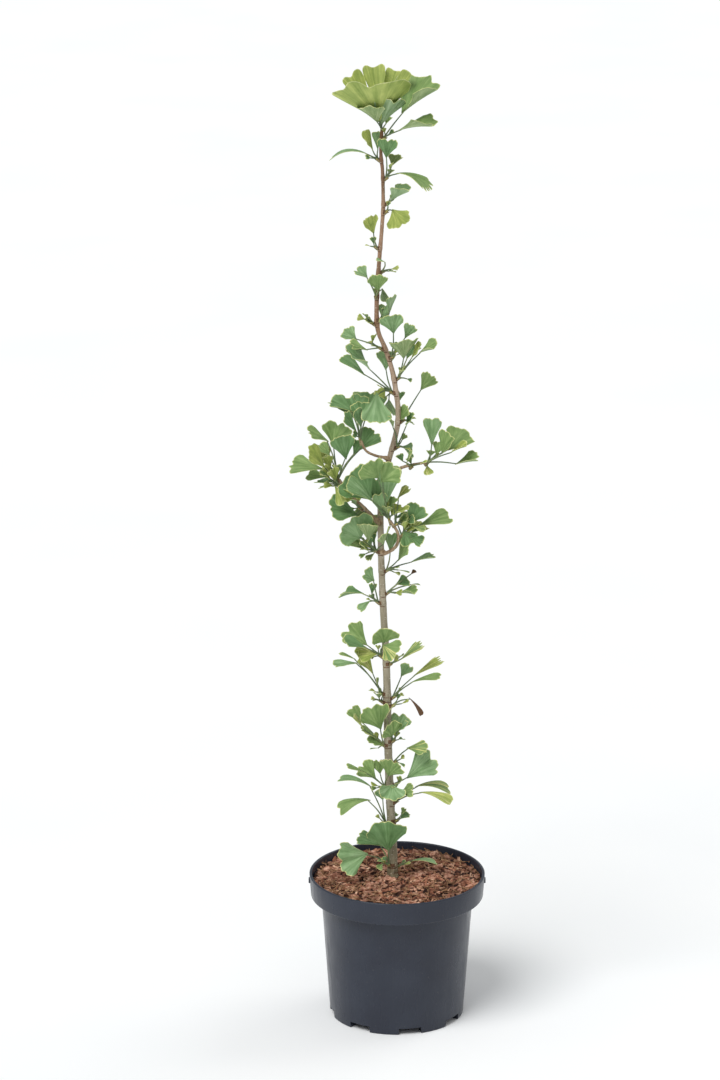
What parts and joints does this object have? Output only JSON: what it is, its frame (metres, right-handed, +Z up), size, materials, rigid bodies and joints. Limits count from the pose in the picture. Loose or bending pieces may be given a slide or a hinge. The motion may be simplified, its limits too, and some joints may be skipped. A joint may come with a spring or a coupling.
{
  "type": "potted ginkgo tree",
  "caption": "Young maidenhair tree in a nursery pot: a slender sinuous stem with short spurs of fan-shaped variegated leaves over coarse potting bark.",
  "frame": {"origin": "centre of the pot's flat underside, on the surface that it stands on", "axes": "+Z up along the plant, +X to the right and +Y to the back as it is seen from the front"},
  "size_m": [0.205, 0.1846, 1.0081],
  "materials": {
    "pot_plastic": "matt dark blue-grey injection-moulded plastic",
    "potting_bark": "coarse reddish-brown bark and fibre, dry",
    "stem_bark": "young grey-brown bark, finely furrowed",
    "leaf": "leathery, satin, fan-veined with pale margins"
  },
  "bodies": {
    "root": {"pot": "pot_plastic", "soil": "potting_bark", "trunk": "stem_bark", "left_bough": "stem_bark", "right_bough": "stem_bark", "looping_twig": "stem_bark", "upper_left_twig": "stem_bark", "foliage_01_back": "leaf", "foliage_02_right": "leaf", "foliage_03_left": "leaf", "foliage_04_right": "leaf", "foliage_05_right": "leaf", "foliage_06_right": "leaf", "foliage_07_left": "leaf", "foliage_08_right": "leaf", "foliage_09_front": "leaf", "foliage_10_right": "leaf", "foliage_11_left": "leaf", "foliage_12_left": "leaf", "foliage_13_right": "leaf", "foliage_14_right": "leaf", "foliage_15_left": "leaf", "foliage_16_right": "leaf", "foliage_17_right": "leaf", "foliage_18_left": "leaf", "foliage_19_left": "leaf", "foliage_20_left": "leaf", "foliage_21_left": "leaf", "foliage_22_left": "leaf", "foliage_23_front": "leaf", "foliage_24_right": "leaf", "foliage_25_front": "leaf", "foliage_26_right": "leaf", "foliage_27_right": "leaf", "foliage_28_right": "leaf", "foliage_29_right": "leaf", "foliage_30_left": "leaf", "foliage_31_left": "leaf", "foliage_32_right": "leaf", "foliage_33_left": "leaf", "foliage_34_right": "leaf", "foliage_35_right": "leaf", "foliage_36_left": "leaf", "foliage_37_left": "leaf", "foliage_38_right": "leaf", "foliage_39_right": "leaf", "foliage_40_right": "leaf", "foliage_41_left": "leaf", "foliage_42_front": "leaf", "foliage_43_right": "leaf", "foliage_44_left": "leaf", "foliage_45_right": "leaf", "foliage_46_front": "leaf", "foliage_47_right": "leaf"}
  },
  "joints": []
}
